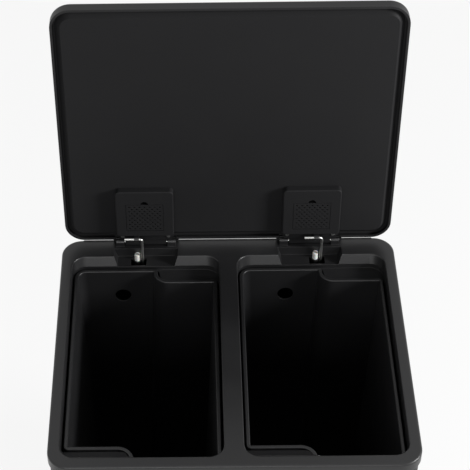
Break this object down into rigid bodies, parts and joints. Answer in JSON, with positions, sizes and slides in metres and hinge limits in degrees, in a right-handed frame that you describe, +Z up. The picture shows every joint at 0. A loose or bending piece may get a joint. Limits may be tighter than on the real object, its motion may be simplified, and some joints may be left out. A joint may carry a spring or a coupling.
{
  "type": "double recycling bin",
  "caption": "Step bin with one wide hinged lid over two lift-out buckets, perforated filter doors inside the lid, lift rods and a front pedal.",
  "frame": {"origin": "floor level under the middle of the bin's body, 5 mm behind the middle of the whole with its open lid and pedal", "axes": "+X to the right seen from the pedal side, +Y to the back, +Z up; at rest the lid is open"},
  "size_m": [0.48, 0.4639, 1.0074],
  "materials": {
    "coated_steel": "satin black powder coat",
    "frame_plastic": "fine textured black polypropylene",
    "bucket_plastic": "smooth dark polypropylene",
    "lid_panel": "satin black polypropylene",
    "zinc_steel": "zinc-plated",
    "acetal": "natural white acetal",
    "carbon_felt": "carbon felt",
    "rubber": "matt rubber",
    "lever_steel": "black e-coat"
  },
  "bodies": {
    "bin": {"outer_shell": "coated_steel", "top_frame": "frame_plastic", "base_tray": "frame_plastic", "feet": "rubber", "hinge_pin_left": "zinc_steel", "hinge_pin_right": "zinc_steel", "damper_body_left": "frame_plastic", "damper_body_right": "frame_plastic", "pedal_axle": "zinc_steel", "axle_clips": "zinc_steel", "frame_screws": "zinc_steel", "base_screws": "zinc_steel"},
    "lid": {"lid_skin": "coated_steel", "lid_liner": "lid_panel", "bracket_screws": "zinc_steel", "hinge_bracket_left": "frame_plastic", "hinge_bracket_right": "frame_plastic", "filter_housing_left": "frame_plastic", "filter_housing_right": "frame_plastic", "filter_pad_left": "carbon_felt", "filter_pad_right": "carbon_felt"},
    "pedal": {"pedal_frame": "lever_steel", "pedal_pad": "frame_plastic", "pedal_bushes": "acetal"},
    "bucket_left": {"bucket_left": "bucket_plastic"},
    "bucket_right": {"bucket_right": "bucket_plastic"},
    "filter_door_left": {"filter_door_left": "frame_plastic"},
    "filter_door_right": {"filter_door_right": "frame_plastic"},
    "lift_rod_left": {"lift_rod_left": "zinc_steel", "rod_clip_left": "zinc_steel"},
    "damper_plunger_left": {"damper_plunger_left": "acetal"},
    "lift_rod_right": {"lift_rod_right": "zinc_steel", "rod_clip_right": "zinc_steel"},
    "damper_plunger_right": {"damper_plunger_right": "acetal"}
  },
  "joints": [
    {"name": "lid_hinge", "type": "hinge", "parent": "bin", "child": "lid", "pos_m": [0, 0.199, 0.606], "axis": [-1, 0, 0], "range_deg": [-92, 0]},
    {"name": "bucket_left_lift", "type": "slide", "parent": "bin", "child": "bucket_left", "axis": [0, 0, 1], "range_m": [0, 0.66]},
    {"name": "bucket_right_lift", "type": "slide", "parent": "bin", "child": "bucket_right", "axis": [0, 0, 1], "range_m": [0, 0.66]},
    {"name": "filter_door_left_hinge", "type": "hinge", "parent": "lid", "child": "filter_door_left", "pos_m": [-0.1185, 0.18671, 0.64085], "axis": [1, 0, 0], "range_deg": [0, 75]},
    {"name": "filter_door_right_hinge", "type": "hinge", "parent": "lid", "child": "filter_door_right", "pos_m": [0.1185, 0.18671, 0.64085], "axis": [1, 0, 0], "range_deg": [0, 75]},
    {"name": "lift_rod_left_pivot", "type": "hinge", "parent": "lid", "child": "lift_rod_left", "pos_m": [-0.12355, 0.183, 0.625], "axis": [-1, 0, 0], "range_deg": [-1, 93]},
    {"name": "damper_plunger_left_slide", "type": "slide", "parent": "bin", "child": "damper_plunger_left", "axis": [0, 0, 1], "range_m": [-0.0088, 0.0001]},
    {"name": "lift_rod_right_pivot", "type": "hinge", "parent": "lid", "child": "lift_rod_right", "pos_m": [0.13495, 0.183, 0.625], "axis": [-1, 0, 0], "range_deg": [-1, 93]},
    {"name": "damper_plunger_right_slide", "type": "slide", "parent": "bin", "child": "damper_plunger_right", "axis": [0, 0, 1], "range_m": [-0.0088, 0.0001]},
    {"name": "pedal_pivot", "type": "hinge", "parent": "bin", "child": "pedal", "pos_m": [0, -0.051, 0.033], "axis": [1, 0, 0], "range_deg": [-9.41, 0.5]}
  ],
  "couplings": [
    {"joint": "lift_rod_left_pivot", "follows": "lid_hinge", "ratio": -1},
    {"joint": "damper_plunger_left_slide", "follows": "lid_hinge", "m_per_rad": 0.0053559},
    {"joint": "lift_rod_right_pivot", "follows": "lid_hinge", "ratio": -1},
    {"joint": "damper_plunger_right_slide", "follows": "lid_hinge", "m_per_rad": 0.0053559},
    {"joint": "pedal_pivot", "follows": "lid_hinge", "ratio": 0.096816}
  ]
}
